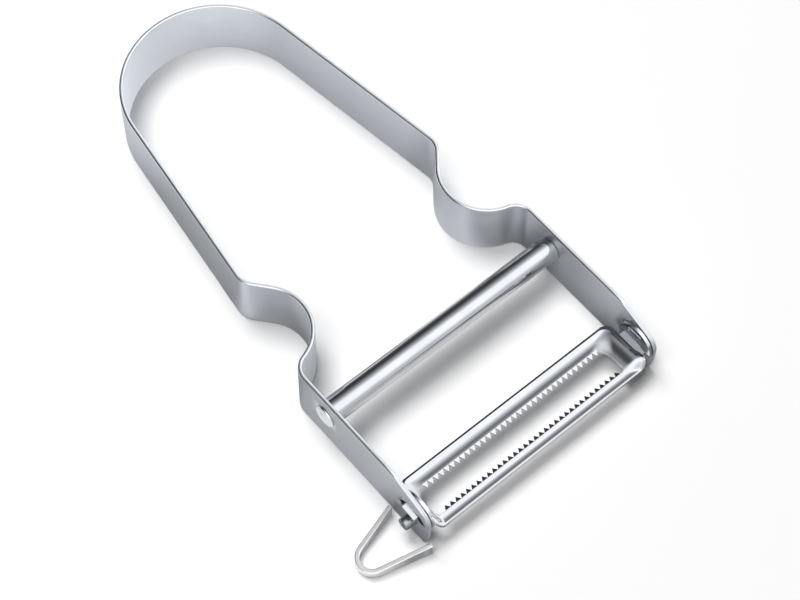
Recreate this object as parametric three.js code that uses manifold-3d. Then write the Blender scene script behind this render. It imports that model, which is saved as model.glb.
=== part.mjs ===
// Serrated peeler: a bent metal strip handle, a round cross bar, a swinging toothed blade
// on two pivot pins, and a small loop on the left arm for digging out potato eyes.
// Millimetres, +Z up. The strip lies on its lower edge at z = 0. The origin is on that edge
// at the middle of the bow; the arms run towards -Y and the left arm is at -X.

import * as THREE from "three";
import { mergeVertices } from "three/addons/utils/BufferGeometryUtils.js";
import Module from "manifold-3d";

const wasm = await Module();
wasm.setup();

const degrees = Math.PI / 180;

// Handle strip: section and bends along its middle line, from the bow to the nose of an arm
const stripHeight = 13.2;
const stripThick = 0.8;
const stripEdgeBreak = 0.25;
const bowRadius = 17.9;
const gripSplay = 7.7 * degrees;
const gripLength = 37.2;
const heelRadius = 4.1;
const heelAngle = 39.8 * degrees;
const heelFlat = 3.7;
const notchRadius = 9.0;
const notchAngle = 73.4 * degrees;
const shoulderFlat = 0.2;
const shoulderRadius = 3.5;
const armLength = 33.67;

// Tip of each arm: a sloped top edge and a rounded nose
const taperLength = 9.6;
const taperDrop = 3.5;
const noseRound = 3.4;
const noseSetback = 0.9;
const noseFullHeight = 4.8;

// Pivot of the blade, measured back from the nose and up from the lower edge
const pivotBack = 4.31;
const pivotHeight = 4.4;
const pinRadius = 1.2;
const pinOutside = 2.0;
const pinEndRound = 0.35;
const swing = 25 * degrees;

// Cross bar, measured back from the nose
const barBack = 27.49;
const barHeight = 8.3;
const barRadius = 2.45;
const tenonRadius = 1.4;
const rivetRadius = 2.25;
const rivetHeight = 0.65;

// Blade: a pressed sheet with a channel on each side of a toothed slot and an upright ear at each end.
// Widths run back or forward from the pivot line, rises go up from it.
const bladeThick = 0.6;
const bladeEndGap = 1.2;
const bladeCorner = 1.7;
const rearEdge = 6.3;
const rearLip = 6.05;
const rearLipRise = 1.0;
const rearEdgeRise = 0.7;
const rearValley = 4.4;
const rearValleyRise = 0.4;
const rearGum = 3.45;
const gumRise = 0.53;
const frontGum = 2.85;
const frontValley = 3.9;
const frontValleyRise = 0.2;
const frontLip = 4.5;
const frontLipRise = 0.29;
const frontEdge = 4.85;
const frontEdgeRise = 0.1;
const toothLength = 0.92;
const toothTipRise = 0.12;
const toothPitch = 1.215;
const toothShift = 0.3;
const slotEndBridge = 2.7;
const slotShift = -1.2;
const slotEndRound = 1.15;
const rampSetback = 0.2;
const rampLength = 2.2;
const rampTopFlat = 0.3;
const endRise = 1.1;
const neckHalfWidth = 2.8;
const earRadius = 3.95;
const earCentreRise = 2.5;
const earForward = 0.3;
const earThick = 0.6;
const earOpening = 1.6;
const tabHalfWidth = 1.6;
const tabThick = 0.6;
const tabRise = 3.2;
const tabOutside = 0.9;

// Loop for potato eyes, on the outside of the left arm
const loopThick = 0.85;
const loopReach = 11.8;
const loopEndRadius = 2.7;
const loopLegAngle = 15 * degrees;
const loopHeightAtArm = 3.0;
const loopHeightAtEnd = 2.0;
const loopRaise = 0.05;
const loopBack = 3.9;

// Clearances between the pieces
const seatGap = 0.05;
const runningGap = 0.08;
const earGap = 0.25;
const pinEndGap = 0.1;
const tabGap = 0.2;
const loopGap = 0.1;
const loopFreeGap = 0.9;

// Turns a closed geometry into a solid that can be joined and cut
function solid(geometry) {
  const plain = geometry.clone();
  plain.deleteAttribute("normal");
  plain.deleteAttribute("uv");
  const welded = mergeVertices(plain, 1e-5);
  const positions = Float32Array.from(welded.attributes.position.array);
  const corners = Uint32Array.from(welded.index.array);
  return new wasm.Manifold(new wasm.Mesh({ numProp: 3, vertProperties: positions, triVerts: corners }));
}

// A prism standing on a plan outline
function prismUp(points, low, high) {
  const shape = new THREE.Shape(points.map(([x, y]) => new THREE.Vector2(x, y)));
  const geometry = new THREE.ExtrudeGeometry(shape, { depth: high - low, bevelEnabled: false });
  geometry.translate(0, 0, low);
  return geometry;
}

// A prism running along X from an outline given as y and z
function prismAcross(points, left, right) {
  const shape = new THREE.Shape(points.map(([y, z]) => new THREE.Vector2(y, z)));
  const geometry = new THREE.ExtrudeGeometry(shape, { depth: right - left, bevelEnabled: false });
  const turn = new THREE.Matrix4().makeBasis(
    new THREE.Vector3(0, 1, 0),
    new THREE.Vector3(0, 0, 1),
    new THREE.Vector3(1, 0, 0),
  );
  geometry.applyMatrix4(turn);
  geometry.translate(left, 0, 0);
  return geometry;
}

// A prism running along Y from an outline given as x and z
function prismAlong(points, near, far) {
  const shape = new THREE.Shape(points.map(([x, z]) => new THREE.Vector2(x, z)));
  const geometry = new THREE.ExtrudeGeometry(shape, { depth: far - near, bevelEnabled: false });
  geometry.rotateX(Math.PI / 2);
  geometry.translate(0, far, 0);
  return geometry;
}

// A turned piece about an axis along X; the profile lists x and radius from axis to axis
function turnedAcross(profile, y, z, sides) {
  const points = profile.map(([x, radius]) => new THREE.Vector2(radius, x));
  const geometry = new THREE.LatheGeometry(points, sides);
  geometry.rotateZ(-Math.PI / 2);
  geometry.translate(0, y, z);
  return geometry;
}

function rodAcross(radius, left, right, y, z) {
  return turnedAcross([[left, 0], [left, radius], [right, radius], [right, 0]], y, z, 40);
}

// Points on an arc about a centre, both ends included
function arcPoints(centreA, centreB, radius, from, to, steps) {
  const points = [];
  for (let i = 0; i <= steps; i += 1) {
    const angle = from + ((to - from) * i) / steps;
    points.push([centreA + radius * Math.cos(angle), centreB + radius * Math.sin(angle)]);
  }
  return points;
}

// Middle line of the right half of the strip, walked from the bow to the nose
function stripPath() {
  const path = [];
  let x = 0;
  let y = 0;
  let heading = 0;
  const mark = () => path.push({ x, y, heading });
  const forward = (length) => {
    x += length * Math.cos(heading);
    y += length * Math.sin(heading);
    mark();
  };
  const bend = (radius, target, steps) => {
    const turn = (target - heading) / steps;
    const chord = 2 * radius * Math.sin(Math.abs(turn) / 2);
    for (let i = 0; i < steps; i += 1) {
      x += chord * Math.cos(heading + turn / 2);
      y += chord * Math.sin(heading + turn / 2);
      heading += turn;
      mark();
    }
  };
  const straightDown = -Math.PI / 2;
  mark();
  bend(bowRadius, straightDown + gripSplay, 30);
  forward(gripLength);
  bend(heelRadius, straightDown - heelAngle, 10);
  forward(heelFlat);
  bend(notchRadius, straightDown + notchAngle, 22);
  forward(shoulderFlat);
  bend(shoulderRadius, straightDown, 12);
  forward(armLength);
  return path;
}

const path = stripPath();
const pathEnd = path[path.length - 1];
const armX = pathEnd.x;
const noseY = pathEnd.y;
const armInside = armX - stripThick / 2;
const armOutside = armX + stripThick / 2;
const pivotY = noseY + pivotBack;
const barY = noseY + barBack;
const bladeHalfLength = armInside - bladeEndGap;
const slotHalfLength = bladeHalfLength - slotEndBridge;
const farOut = 4 * armOutside;

// Outline of the whole strip seen from above
function stripOutline() {
  const side = (offset) => path.map(({ x, y, heading }) => [
    x - offset * Math.sin(heading),
    y + offset * Math.cos(heading),
  ]);
  const mirror = (points) => points.slice(1).reverse().map(([x, y]) => [-x, y]);
  const outer = side(stripThick / 2);
  const inner = side(-stripThick / 2);
  return [...mirror(outer), ...outer, ...inner.slice().reverse(), ...mirror(inner).reverse()];
}

// Side outline that keeps the strip and gives each tip its slope and rounded nose
function tipOutline() {
  const slope = Math.atan2(taperDrop, taperLength);
  const taperStart = noseY + taperLength;
  const crownY = noseY + noseRound;
  const crownZ = stripHeight - taperDrop - noseRound / Math.cos(slope) + noseRound * Math.tan(slope);
  const lowerRadius = (noseFullHeight ** 2 + noseSetback ** 2) / (2 * noseSetback);
  const lowerSweep = Math.asin(noseFullHeight / lowerRadius);
  const crown = arcPoints(crownY, crownZ, noseRound, Math.PI / 2 + slope, Math.PI, 8);
  const lowerEnd = Math.PI + lowerSweep;
  const lower = arcPoints(noseY + lowerRadius, noseFullHeight, lowerRadius, Math.PI, lowerEnd, 8);
  return [
    [farOut, -1],
    [farOut, stripHeight + 1],
    [taperStart, stripHeight + 1],
    [taperStart, stripHeight],
    ...crown,
    ...lower,
    [noseY + noseSetback, -1],
  ];
}

// Window in the arm in which the blade's tab swings: a ring sector about the pivot
function windowOutline() {
  const inner = tabRise - tabGap;
  const outer = Math.hypot(tabHalfWidth, tabRise + tabThick) + tabGap;
  const reach = Math.atan2(tabHalfWidth + tabGap, tabRise) + swing;
  const up = Math.PI / 2;
  return [
    ...arcPoints(pivotY, pivotHeight, outer, up - reach, up + reach, 18),
    ...arcPoints(pivotY, pivotHeight, inner, up + reach, up - reach, 14),
  ];
}

function handleStrip() {
  const shape = new THREE.Shape(stripOutline().map(([x, y]) => new THREE.Vector2(x, y)));
  const geometry = new THREE.ExtrudeGeometry(shape, {
    depth: stripHeight - 2 * stripEdgeBreak,
    bevelEnabled: true,
    bevelThickness: stripEdgeBreak,
    bevelSize: stripEdgeBreak,
    bevelOffset: -stripEdgeBreak,
    bevelSegments: 1,
  });
  geometry.translate(0, 0, stripEdgeBreak);
  const tenonHole = rodAcross(tenonRadius + seatGap, -farOut, farOut, barY, barHeight);
  const pinHole = rodAcross(pinRadius + seatGap, -farOut, farOut, pivotY, pivotHeight);
  const window = prismAcross(windowOutline(), -farOut, farOut);
  return solid(geometry)
    .intersect(solid(prismAcross(tipOutline(), -farOut, farOut)))
    .subtract(solid(tenonHole))
    .subtract(solid(pinHole))
    .subtract(solid(window));
}

// Round bar between the arms; its ends are turned down, pass through the arms and are riveted over
function crossBar() {
  const shoulder = armInside - seatGap;
  const rivetSeat = armOutside + seatGap;
  const rivetTop = rivetSeat + rivetHeight;
  const half = [
    [shoulder, barRadius],
    [shoulder, tenonRadius],
    [rivetSeat, tenonRadius],
    [rivetSeat, rivetRadius],
    [rivetSeat + 0.45 * rivetHeight, rivetRadius],
    [rivetSeat + 0.85 * rivetHeight, 0.72 * rivetRadius],
    [rivetTop, 0.4 * rivetRadius],
    [rivetTop, 0],
  ];
  const otherHalf = half.slice().reverse().map(([x, radius]) => [-x, radius]);
  return solid(turnedAcross([...otherHalf, ...half], barY, barHeight, 40));
}

// Pressed section of the blade as y and z: rear lip, channel, slope of the teeth, and the same in front
function bladeSection() {
  const top = [
    [rearEdge, rearEdgeRise],
    [rearLip, rearLipRise],
    [rearValley, rearValleyRise],
    [rearGum, gumRise],
    [rearGum - toothLength, toothTipRise],
    [toothLength - frontGum, toothTipRise],
    [-frontGum, gumRise],
    [-frontValley, frontValleyRise],
    [-frontLip, frontLipRise],
    [-frontEdge, frontEdgeRise],
  ];
  const under = top.map(([y, z]) => [y, z - bladeThick]).reverse();
  return [...top, ...under].map(([y, z]) => [pivotY + y, pivotHeight + z]);
}

// Slot seen from above, with a row of triangular teeth along both long edges
function slotOutline() {
  const endX = slotHalfLength - slotEndRound;
  const toothCount = Math.floor((2 * (endX - toothShift)) / toothPitch);
  const rowStart = toothShift - (toothCount * toothPitch) / 2;
  const toothRow = (gum, tip) => {
    const row = [];
    for (let i = 0; i < toothCount; i += 1) {
      row.push([rowStart + i * toothPitch, gum]);
      row.push([rowStart + (i + 0.5) * toothPitch, tip]);
    }
    row.push([rowStart + toothCount * toothPitch, gum]);
    return row;
  };
  const right = [
    ...arcPoints(endX, rearGum - slotEndRound, slotEndRound, Math.PI / 2, 0, 6),
    ...arcPoints(endX, slotEndRound - frontGum, slotEndRound, 0, -Math.PI / 2, 6),
  ];
  const left = right.map(([x, y]) => [-x, y]).reverse();
  const rear = toothRow(rearGum, rearGum - toothLength);
  const front = toothRow(-frontGum, toothLength - frontGum).reverse();
  return [...rear, ...right, ...front, ...left].map(([x, y]) => [x + slotShift, pivotY + y]);
}

// Plan of the blade with rounded corners
function bladePlan() {
  const endX = bladeHalfLength - bladeCorner;
  const rearY = pivotY + rearEdge - bladeCorner;
  const frontY = pivotY - frontEdge + bladeCorner;
  return [
    ...arcPoints(endX, rearY, bladeCorner, 0, Math.PI / 2, 6),
    ...arcPoints(-endX, rearY, bladeCorner, Math.PI / 2, Math.PI, 6),
    ...arcPoints(-endX, frontY, bladeCorner, Math.PI, 1.5 * Math.PI, 6),
    ...arcPoints(endX, frontY, bladeCorner, 1.5 * Math.PI, 2 * Math.PI, 6),
  ];
}

const earOutside = armInside - earGap;
const earInside = earOutside - earThick;

// Ear that stands on a short neck at one end of the blade, with a tab that reaches through the arm
function bladeEar(sign) {
  const span = (from, to) => (sign > 0 ? [from, to] : [-to, -from]);
  const across = (outline, from, to) => solid(prismAcross(outline, ...span(from, to)));
  const block = (halfWidth, low, high) => [
    [pivotY - halfWidth, low],
    [pivotY + halfWidth, low],
    [pivotY + halfWidth, high],
    [pivotY - halfWidth, high],
  ];
  const tabLow = pivotHeight + tabRise;
  const tabTop = tabLow + tabThick;
  const neckTop = pivotHeight + endRise;
  const neckStart = bladeHalfLength - rampTopFlat;
  const earY = pivotY - earForward;
  const ear = rodAcross(earRadius, ...span(earInside, earOutside), earY, pivotHeight + earCentreRise);
  const opening = across(block(tabHalfWidth, tabTop, tabTop + earOpening), earInside - 1, earOutside + 1);
  const neck = across(block(neckHalfWidth, neckTop - bladeThick, neckTop), neckStart, earOutside);
  const tab = across(block(tabHalfWidth, tabLow, tabTop), earInside, armOutside + tabOutside);
  const hole = rodAcross(pinRadius + runningGap, ...span(earInside, armInside), pivotY, pivotHeight);
  return solid(ear).subtract(opening).add(neck).add(tab).subtract(solid(hole));
}

// Floor at one end of the slot, which ramps up from the height of the teeth to that of the neck
function bladeEnd(sign) {
  const slotEnd = slotHalfLength + sign * slotShift;
  const foot = slotEnd + rampSetback;
  const head = Math.min(foot + rampLength, bladeHalfLength - rampTopFlat);
  const low = pivotHeight + toothTipRise;
  const high = pivotHeight + endRise;
  const place = (points) => points.map(([x, z]) => [sign * x, z]);
  const across = (points) => solid(prismAlong(place(points), pivotY - frontGum, pivotY + rearGum));
  const pocket = across([
    [foot, low - 2 * bladeThick],
    [foot, high + bladeThick],
    [farOut, high + bladeThick],
    [farOut, low - 2 * bladeThick],
  ]);
  const ramp = across([
    [slotEnd, low - bladeThick],
    [slotEnd, low],
    [foot, low],
    [head, high],
    [bladeHalfLength, high],
    [bladeHalfLength, high - bladeThick],
    [head, high - bladeThick],
    [foot, low - bladeThick],
  ]);
  return { pocket, ramp };
}

function blade() {
  const low = pivotHeight + frontEdgeRise - 2 * bladeThick;
  const high = pivotHeight + rearLipRise + bladeThick;
  const rightEnd = bladeEnd(1);
  const leftEnd = bladeEnd(-1);
  return solid(prismAcross(bladeSection(), -bladeHalfLength, bladeHalfLength))
    .subtract(rightEnd.pocket)
    .subtract(leftEnd.pocket)
    .add(rightEnd.ramp)
    .add(leftEnd.ramp)
    .intersect(solid(prismUp(bladePlan(), low, high)))
    .subtract(solid(prismUp(slotOutline(), low, high)))
    .add(bladeEar(1))
    .add(bladeEar(-1));
}

// Pin held in the arm; its inner end is the axle on which the ear of the blade turns
function pivotPin(sign) {
  const innerEnd = earInside + pinEndGap;
  const outerEnd = armOutside + pinOutside;
  const profile = [
    [innerEnd, 0],
    [innerEnd, pinRadius],
    [outerEnd - pinEndRound, pinRadius],
    [outerEnd, pinRadius - pinEndRound],
    [outerEnd, 0],
  ];
  const placed = sign > 0 ? profile : profile.slice().reverse().map(([x, radius]) => [-x, radius]);
  return solid(turnedAcross(placed, pivotY, pivotHeight, 40));
}

// Loop bent from a narrow strip: two legs that close towards a rounded end, deeper at the arm
function eyeRemover() {
  const arm = -armOutside - loopGap;
  const freeEnd = -armOutside - loopFreeGap;
  const middleY = noseY + loopBack;
  const endX = -armOutside - loopReach + loopEndRadius;
  const outerRadius = loopEndRadius + loopThick / 2;
  const innerRadius = loopEndRadius - loopThick / 2;
  const half = Math.PI / 2 - loopLegAngle;
  const side = (radius) => {
    const points = arcPoints(endX, middleY, radius, Math.PI - half, Math.PI + half, 18);
    const [startX, startY] = points[0];
    const rise = (x) => startY - middleY + (x - startX) * Math.tan(loopLegAngle);
    return [[freeEnd, middleY + rise(freeEnd)], ...points, [arm, middleY - rise(arm)]];
  };
  const outline = [...side(outerRadius), ...side(innerRadius).reverse()];
  const length = loopReach + loopThick / 2;
  const wedge = [
    [arm + 1, loopRaise + loopHeightAtArm],
    [arm, loopRaise + loopHeightAtArm],
    [arm - length, loopRaise + loopHeightAtEnd],
    [arm - length - 1, loopRaise + loopHeightAtEnd],
    [arm - length - 1, loopRaise + 2 * loopHeightAtArm],
    [arm + 1, loopRaise + 2 * loopHeightAtArm],
  ];
  const cutter = prismAlong(wedge, middleY - farOut, middleY + farOut);
  return solid(prismUp(outline, loopRaise, loopRaise + 1.5 * loopHeightAtArm)).subtract(solid(cutter));
}

const satinSteel = { color: 0xa9adb3, roughness: 0.42, metalness: 1.0 };
const polishedSteel = { color: 0xd2d5d8, roughness: 0.12, metalness: 1.0 };
const tumbledSteel = { color: 0xc6c8ca, roughness: 0.38, metalness: 1.0 };

function addPiece(group, name, body, look) {
  const data = body.getMesh();
  const geometry = new THREE.BufferGeometry();
  geometry.setAttribute("position", new THREE.BufferAttribute(Float32Array.from(data.vertProperties), 3));
  geometry.setIndex(new THREE.BufferAttribute(Uint32Array.from(data.triVerts), 1));
  geometry.computeVertexNormals();
  const mesh = new THREE.Mesh(geometry, new THREE.MeshStandardMaterial(look));
  mesh.name = name;
  group.add(mesh);
}

const peeler = new THREE.Group();
peeler.name = "serrated_peeler";
addPiece(peeler, "handle_strip", handleStrip(), satinSteel);
addPiece(peeler, "cross_bar", crossBar(), polishedSteel);
addPiece(peeler, "blade", blade(), polishedSteel);
addPiece(peeler, "pivot_pin_left", pivotPin(-1), polishedSteel);
addPiece(peeler, "pivot_pin_right", pivotPin(1), polishedSteel);
addPiece(peeler, "eye_remover", eyeRemover(), tumbledSteel);

export default peeler;
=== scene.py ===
import math

import bmesh
import bpy
from bpy.props import FloatProperty, FloatVectorProperty, IntProperty, PointerProperty
from mathutils import Matrix, Vector


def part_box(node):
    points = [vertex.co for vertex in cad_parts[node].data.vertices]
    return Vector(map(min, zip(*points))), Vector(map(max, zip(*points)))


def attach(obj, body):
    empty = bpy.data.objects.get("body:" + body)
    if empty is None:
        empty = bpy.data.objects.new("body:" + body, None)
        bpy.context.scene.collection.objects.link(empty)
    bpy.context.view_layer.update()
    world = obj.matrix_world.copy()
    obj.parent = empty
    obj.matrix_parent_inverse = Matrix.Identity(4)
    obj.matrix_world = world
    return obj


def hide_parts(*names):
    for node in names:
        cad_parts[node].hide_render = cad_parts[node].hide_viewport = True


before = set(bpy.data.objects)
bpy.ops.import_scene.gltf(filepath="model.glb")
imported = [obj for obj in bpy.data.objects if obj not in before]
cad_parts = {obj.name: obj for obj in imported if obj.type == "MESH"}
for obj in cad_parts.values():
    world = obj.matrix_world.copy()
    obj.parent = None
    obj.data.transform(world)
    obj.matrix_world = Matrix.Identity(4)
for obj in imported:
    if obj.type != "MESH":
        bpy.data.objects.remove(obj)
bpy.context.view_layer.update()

bl_info = {
    "name": "Serrated Peeler",
    "version": (1, 0, 0),
    "blender": (4, 5, 0),
    "location": "View3D > Sidebar > Peeler",
    "description": "Dresses the frame of a serrated peeler: strip, bar, toothed blade, pins and loop",
    "category": "Object",
}

MM = 0.001

# Where the frame puts the nose of the arms, the bar and the pivot
STRIP_LOW, STRIP_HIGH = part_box("handle_strip")
BAR_LOW, BAR_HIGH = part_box("cross_bar")
PIN_LOW, PIN_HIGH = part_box("pivot_pin_right")
LOOP_LOW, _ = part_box("eye_remover")
NOSE_Y = STRIP_LOW[1]
ARM_OUTSIDE = STRIP_HIGH[0]
BAR_Y = 0.5 * (BAR_LOW[1] + BAR_HIGH[1])
BAR_Z = 0.5 * (BAR_LOW[2] + BAR_HIGH[2])
PIVOT_Y = 0.5 * (PIN_LOW[1] + PIN_HIGH[1])
PIVOT_Z = 0.5 * (PIN_LOW[2] + PIN_HIGH[2])


def length(name, description, millimetres):
    return FloatProperty(
        name=name, description=description, default=millimetres * MM, precision=5,
        unit="LENGTH", subtype="DISTANCE",
    )


def angle(name, description, degrees):
    return FloatProperty(
        name=name, description=description, default=math.radians(degrees), unit="ROTATION", subtype="ANGLE"
    )


def share(name, description, value):
    return FloatProperty(
        name=name, description=description, default=value, min=0.0, max=1.0, subtype="FACTOR"
    )


def colour(name, description, value):
    return FloatVectorProperty(
        name=name, description=description, default=value, size=3, min=0.0, max=1.0, subtype="COLOR"
    )


class PeelerHandleSizes(bpy.types.PropertyGroup):
    """Section, bends and tips of the bent strip"""

    thick: length("Thickness", "Thickness of the strip", 0.8)
    edge_round: length("Edge round", "Rounding along the edges of the strip", 0.36)
    tip_round: length("Tip round", "Rounding along the edges of the tips", 0.1)
    bow_radius: length("Bow radius", "Radius of the bow on the middle line", 17.9)
    grip_splay: angle("Grip splay", "Lean of the grips away from straight", 7.7)
    grip_length: length("Grip length", "Straight part behind the heel", 37.2)
    heel_radius: length("Heel radius", "Radius of the bend at the heel", 4.1)
    heel_angle: angle("Heel angle", "Turn inwards after the heel", 39.8)
    heel_flat: length("Heel flat", "Straight part between heel and notch", 3.7)
    notch_radius: length("Notch radius", "Radius of the finger notch", 9.0)
    notch_angle: angle("Notch angle", "Turn outwards after the notch", 73.4)
    shoulder_flat: length("Shoulder flat", "Straight part before the shoulder", 0.2)
    shoulder_radius: length("Shoulder radius", "Radius of the bend into the arm", 3.5)
    taper_length: length("Taper length", "Length of the sloped top edge of a tip", 9.6)
    taper_drop: length("Taper drop", "Fall of the sloped top edge", 3.5)
    nose_round: length("Nose round", "Radius at the top of the nose", 3.4)
    nose_setback: length("Nose setback", "How far the nose runs back at its foot", 0.9)
    nose_full_height: length("Nose height", "Height at which the nose is at its foremost", 4.8)


class PeelerBarSizes(bpy.types.PropertyGroup):
    """Cross bar, its riveted ends and the pivot pins"""

    radius: length("Bar radius", "Radius of the bar between the arms", 2.45)
    tenon_radius: length("Tenon radius", "Radius where the bar passes through an arm", 1.4)
    rivet_radius: length("Rivet radius", "Radius of the riveted end", 2.25)
    rivet_height: length("Rivet height", "Height of the riveted end", 0.65)
    seat_gap: length("Seat gap", "Gap between the bar and the arm", 0.05)
    pin_radius: length("Pin radius", "Radius of a pivot pin", 1.2)


class PeelerBladeSizes(bpy.types.PropertyGroup):
    """Pressed sheet, slot, teeth and ears of the blade"""

    thick: length("Sheet thickness", "Thickness of the pressed sheet", 0.6)
    end_gap: length("End gap", "Gap between the sheet and the arm", 1.2)
    corner: length("Corner radius", "Radius of the corners of the sheet", 1.7)
    rear_edge: length("Rear edge", "From the pivot line to the rear edge", 6.3)
    rear_gum: length("Rear gum", "From the pivot line to the roots of the rear teeth", 3.45)
    front_gum: length("Front gum", "From the pivot line to the roots of the front teeth", 2.85)
    front_edge: length("Front edge", "From the pivot line to the front edge", 4.85)
    gum_rise: length("Gum rise", "Height of the roots of the teeth over the pivot", 0.53)
    end_rise: length("End rise", "Height of the sheet beyond the ends of the slot", 1.4)
    slot_end_bridge: length("Slot end bridge", "Sheet left at the ends of the slot", 2.7)
    slot_shift: length("Slot shift", "Shift of the slot along the blade", -1.2)
    slot_rear_round: length("Slot rear round", "Radius of the rear corners of the slot", 2.9)
    slot_front_round: length("Slot front round", "Radius of the front corners of the slot", 0.9)
    tooth_length: length("Tooth length", "From the root to the tip of a tooth", 0.92)
    tooth_pitch: length("Tooth pitch", "Distance from tooth to tooth", 1.215)
    tooth_shift: length("Tooth shift", "Shift of the teeth along the slot", 0.3)
    end_lean: share("End lean", "Fall of the sheet towards the rear beyond the slot", 0.1)
    tooth_fall: length("Tooth fall", "Fall of the top of a tooth to its tip", 0.3)
    tooth_count: IntProperty(name="Teeth", description="Teeth in each row", default=34, min=1)
    neck_half: length("Neck half width", "Half the width of the neck of an ear", 2.8)
    ear_radius: length("Ear radius", "Radius of an ear", 3.95)
    ear_rise: length("Ear rise", "Height of the middle of an ear over the pivot", 2.5)
    ear_forward: length("Ear forward", "How far the middle of an ear is before the pivot", 0.3)
    ear_thick: length("Ear thickness", "Thickness of an ear", 0.6)
    ear_gap: length("Ear gap", "Gap between an ear and the arm", 0.25)
    ear_opening: length("Ear opening", "Height of the opening that the tab was bent from", 1.6)
    tab_half: length("Tab half width", "Half the width of the tab in the window", 1.6)
    tab_thick: length("Tab thickness", "Thickness of the tab", 0.6)
    tab_rise: length("Tab rise", "Height of the tab over the pivot", 3.2)
    tab_outside: length("Tab outside", "Length of the tab outside the arm", 0.9)
    tab_gap: length("Tab gap", "Gap round the tab in the window", 0.2)
    swing: angle("Swing", "Swing of the blade to each side", 25.0)


class PeelerLoopSizes(bpy.types.PropertyGroup):
    """Loop for potato eyes on the left arm"""

    thick: length("Loop thickness", "Thickness of the loop's strip", 0.85)
    reach: length("Loop reach", "Reach of the middle line out from the arm", 11.8)
    end_radius: length("End radius", "Radius of the round end", 2.7)
    leg_angle: angle("Leg angle", "Angle of a leg to the line across", 15.0)
    height_at_arm: length("Height at arm", "Depth of the loop next to the arm", 3.0)
    height_at_end: length("Height at end", "Depth of the loop at its round end", 2.0)
    back: length("Loop back", "Middle of the loop behind the nose", 3.9)
    gap: length("Gap", "Gap between the front leg and the arm", 0.1)
    free_gap: length("Free gap", "Gap between the rear leg and the arm", 0.9)
    edge_round: length("Edge round", "Rounding along the edges of the loop", 0.14)


class PeelerFinishes(bpy.types.PropertyGroup):
    """Steel colours and the floor"""

    satin: colour("Satin steel", "Colour of the satin strip", (0.60, 0.62, 0.65))
    polished: colour("Polished steel", "Colour of the bar and the blade", (0.57, 0.58, 0.60))
    tumbled: colour("Tumbled steel", "Colour of the loop", (0.82, 0.82, 0.815))
    stamped: colour("Stamped steel", "Colour of the ears of the blade", (0.76, 0.77, 0.79))
    # Painted highlight: the riveted ends are coloured much brighter than the bar's steel
    hammered: colour("Hammered steel", "Colour of the riveted ends", (0.93, 0.93, 0.93))
    # Painted shade: the pins are coloured darker than the other steel
    cut: colour("Cut steel", "Colour of the pivot pins", (0.36, 0.37, 0.385))
    satin_roughness: share("Satin roughness", "Roughness of the satin strip", 0.42)
    polished_roughness: share("Polished roughness", "Roughness of the polished pieces", 0.06)
    tumbled_roughness: share("Tumbled roughness", "Roughness of the loop", 0.58)
    hammered_roughness: share("Hammered roughness", "Roughness of the riveted ends", 0.3)
    cut_roughness: share("Cut roughness", "Roughness of the pivot pins", 0.16)
    stamped_roughness: share("Stamped roughness", "Roughness of the ears of the blade", 0.3)
    floor: colour("Floor", "Colour of the floor", (0.93, 0.93, 0.93))


# Outlines

def arc(centre_a, centre_b, radius, start, end, steps):
    points = []
    for i in range(steps + 1):
        turn = start + (end - start) * i / steps
        points.append((centre_a + radius * math.cos(turn), centre_b + radius * math.sin(turn)))
    return points


def filleted(points, radii, steps=5):
    """A closed outline with each corner rounded by its radius."""
    outline = []
    count = len(points)
    for i in range(count):
        corner = Vector(points[i])
        to_last = Vector(points[i - 1]) - corner
        to_next = Vector(points[(i + 1) % count]) - corner
        radius = radii[i]
        if radius <= 0.0:
            outline.append(tuple(corner))
            continue
        half = to_last.angle(to_next) / 2
        if half > math.radians(88):
            outline.append(tuple(corner))
            continue
        cut = min(radius / math.tan(half), 0.45 * to_last.length, 0.45 * to_next.length)
        radius = cut * math.tan(half)
        start = corner + to_last.normalized() * cut
        end = corner + to_next.normalized() * cut
        middle = (to_last.normalized() + to_next.normalized()).normalized()
        centre = corner + middle * (radius / math.sin(half))
        first = start - centre
        turn = first.angle_signed(end - centre)
        for k in range(steps + 1):
            spoke = first.copy()
            spoke.rotate(Matrix.Rotation(-turn * k / steps, 2))
            outline.append(tuple(centre + spoke))
    return outline


# Meshes

def new_piece(name, build):
    mesh = bpy.data.meshes.new(name)
    build.to_mesh(mesh)
    build.free()
    piece = bpy.data.objects.new(name, mesh)
    bpy.context.scene.collection.objects.link(piece)
    return piece


def loop_faces(build, first, second):
    count = len(first)
    for i in range(count):
        k = (i + 1) % count
        build.faces.new((first[i], first[k], second[k], second[i]))


def turned_piece(name, profile, y, z, sides):
    """A piece turned about an axis along X, from x and radius of a profile that starts and ends on it."""
    build = bmesh.new()
    rings = []
    for x, radius in profile[1:-1]:
        spokes = arc(y, z, radius, 0.0, 2 * math.pi, sides)[:-1]
        rings.append([build.verts.new((x, *spoke)) for spoke in spokes])
    for first, second in zip(rings, rings[1:]):
        loop_faces(build, first, second)
    for end, ring in ((profile[0], rings[0]), (profile[-1], rings[-1])):
        pole = build.verts.new((end[0], y, z))
        for i in range(sides):
            build.faces.new((ring[i], ring[(i + 1) % sides], pole))
    face_outwards(build)
    piece = new_piece(name, build)
    shade(piece)
    return piece


def add_prism_across(build, outline, left, right):
    """A prism along X from an outline of y and z."""
    first = [build.verts.new((left, y, z)) for y, z in outline]
    second = [build.verts.new((right, y, z)) for y, z in outline]
    loop_faces(build, first, second)
    build.faces.new(first)
    build.faces.new(second)


def face_outwards(build):
    bmesh.ops.recalc_face_normals(build, faces=build.faces[:])


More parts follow.
